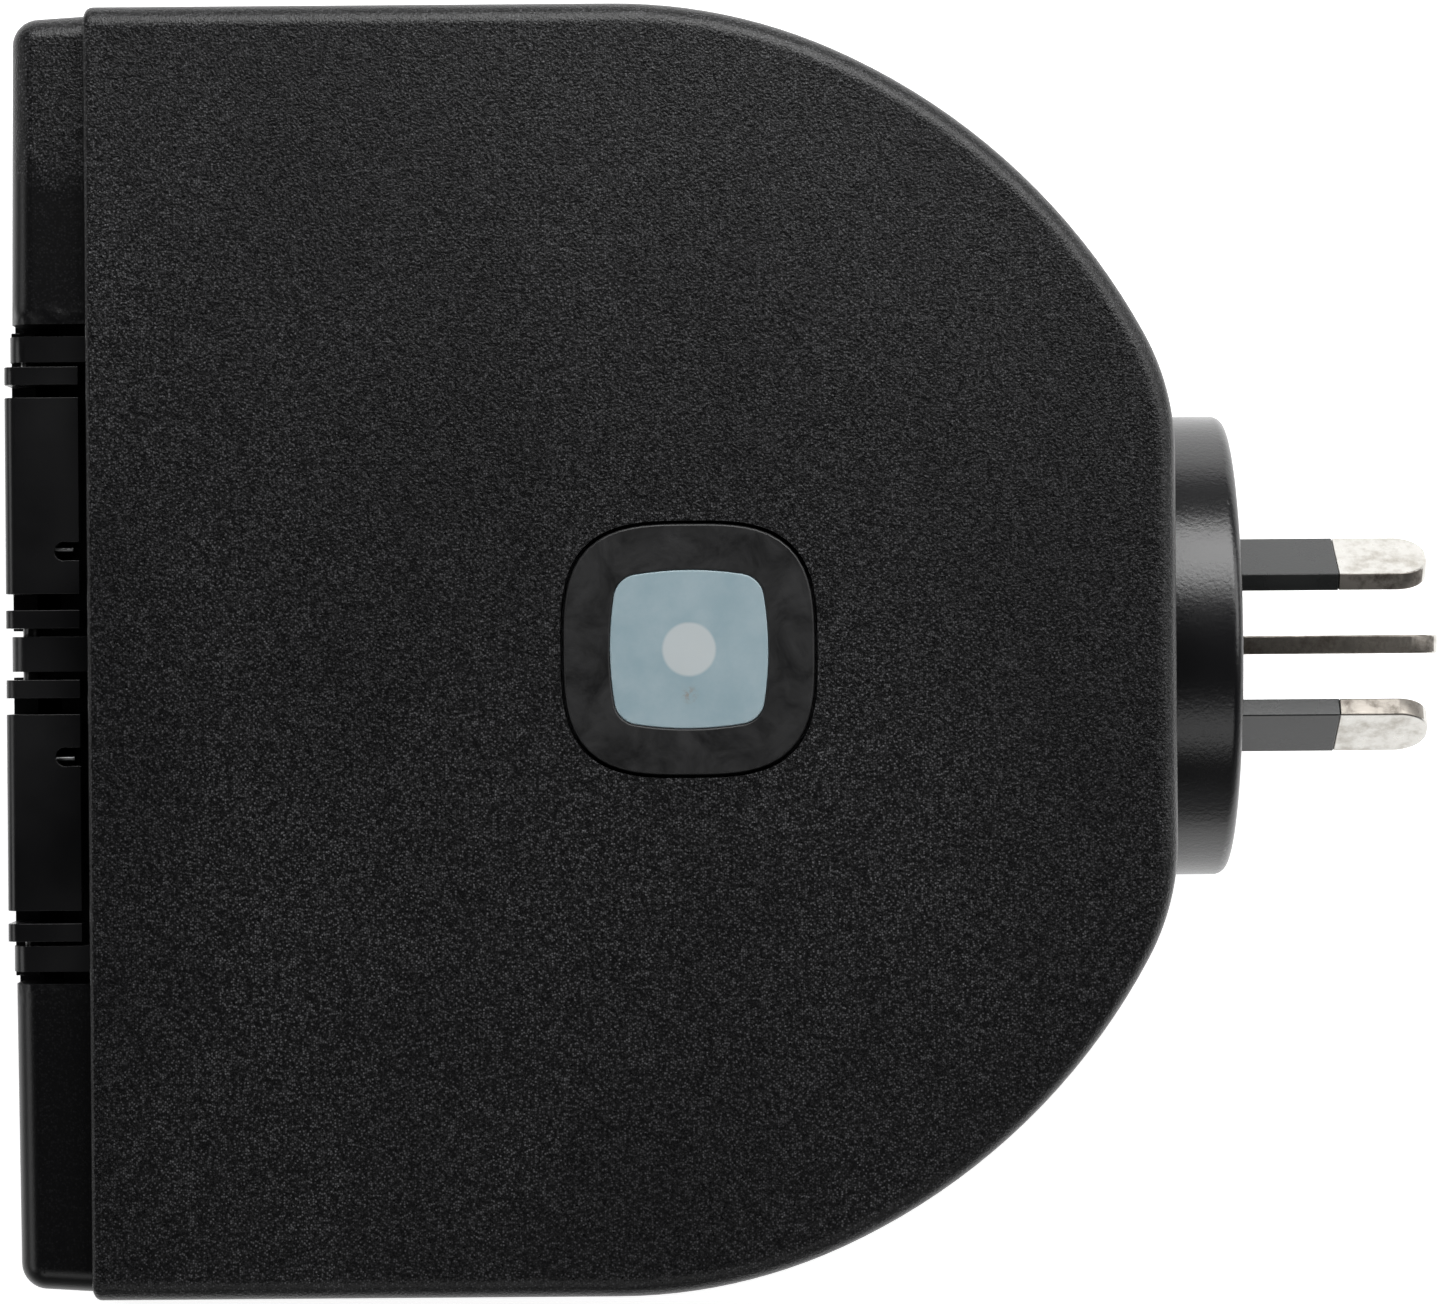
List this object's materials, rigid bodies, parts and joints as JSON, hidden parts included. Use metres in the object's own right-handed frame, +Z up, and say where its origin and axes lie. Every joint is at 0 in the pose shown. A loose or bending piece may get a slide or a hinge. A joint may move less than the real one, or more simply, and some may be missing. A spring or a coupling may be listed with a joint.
{
  "type": "smart plug",
  "caption": "D-shaped weatherproof smart plug with sprung-flap sockets on the front and a lit power button on top, plugging straight into an AS/NZS 3112 wall socket.",
  "frame": {"origin": "centre of the plug base's mating face, on the plug axis", "axes": "+Y into the wall along the pins, -Y the front with the socket flaps, +Z up towards the button, +X right when facing the front"},
  "size_m": [0.1048, 0.1212, 0.056],
  "materials": {
    "case_plastic": "spark-eroded texture",
    "smooth_plastic": "smooth, semi-gloss",
    "plug_plastic": "satin",
    "nickel_pins": "nickel-plated brass, lightly worn",
    "pin_insulation": "satin",
    "button_plastic": "smooth matte",
    "window_plastic": "translucent, satin",
    "white_plastic": "satin",
    "seal_rubber": "matte",
    "screw_steel": "zinc plated",
    "spring_steel": "drawn wire",
    "label_film": "matt film",
    "board_green": "solder mask",
    "led_resin": "clear resin",
    "relay_blue": "moulded",
    "transformer_dark": "ferrite and tape",
    "capacitor_sleeve": "printed sleeve left blank",
    "film_capacitor": "moulded",
    "varistor_blue": "epoxy dipped",
    "fuse_glass": "glass tube with metal ends",
    "radio_can": "tinned shield",
    "carrier_plastic": "moulded",
    "contact_brass": "rolled strip",
    "wire_brown": "insulated wire",
    "wire_blue": "insulated wire",
    "wire_green": "insulated wire",
    "wire_grey": "insulated wire"
  },
  "bodies": {
    "case": {"top_cover": "case_plastic", "lower_housing": "case_plastic", "housing_gasket": "seal_rubber", "housing_screws": "screw_steel", "rating_label": "label_film", "front_bezel": "case_plastic", "socket_panel": "smooth_plastic", "front_gasket": "seal_rubber", "bezel_screws": "screw_steel", "plug_base": "plug_plastic", "plug_seal": "seal_rubber", "active_pin": "nickel_pins", "neutral_pin": "nickel_pins", "earth_pin": "nickel_pins", "active_sleeve": "pin_insulation", "neutral_sleeve": "pin_insulation", "button_seal": "seal_rubber", "switch_board": "board_green", "switch_board_screws": "screw_steel", "tact_switch": "smooth_plastic", "status_led": "led_resin", "main_board": "board_green", "main_board_screws": "screw_steel", "relay_left": "relay_blue", "relay_right": "relay_blue", "power_transformer": "transformer_dark", "storage_capacitor": "capacitor_sleeve", "filter_capacitor": "film_capacitor", "varistor": "varistor_blue", "fuse": "fuse_glass", "wifi_module": "radio_can", "contact_carrier": "carrier_plastic", "active_contact_left": "contact_brass", "active_contact_right": "contact_brass", "neutral_busbar": "contact_brass", "earth_busbar": "contact_brass", "active_wire": "wire_brown", "neutral_wire": "wire_blue", "earth_wire": "wire_green", "switch_lead": "wire_grey"},
    "flap_left": {"flap_left": "smooth_plastic", "flap_seal_left": "seal_rubber", "flap_spring_left": "spring_steel"},
    "flap_right": {"flap_right": "smooth_plastic", "flap_seal_right": "seal_rubber", "flap_spring_right": "spring_steel"},
    "button": {"button_cap": "button_plastic", "light_window": "window_plastic", "push_post": "white_plastic", "switch_plunger": "white_plastic"}
  },
  "joints": [
    {"name": "flap_left_hinge", "type": "hinge", "parent": "case", "child": "flap_left", "pos_m": [-0.0128, -0.0993, 0.0233], "axis": [-1, 0, 0], "range_deg": [0, 105], "stiffness_Nm_per_rad": 0.002, "springref_deg": -45.84},
    {"name": "flap_right_hinge", "type": "hinge", "parent": "case", "child": "flap_right", "pos_m": [0.0128, -0.0993, 0.0233], "axis": [-1, 0, 0], "range_deg": [0, 105], "stiffness_Nm_per_rad": 0.002, "springref_deg": -45.84},
    {"name": "button_press", "type": "slide", "parent": "case", "child": "button", "axis": [0, 0, -1], "range_m": [0, 0.0008], "stiffness_N_per_m": 2000, "springref_m": -0.0004}
  ]
}
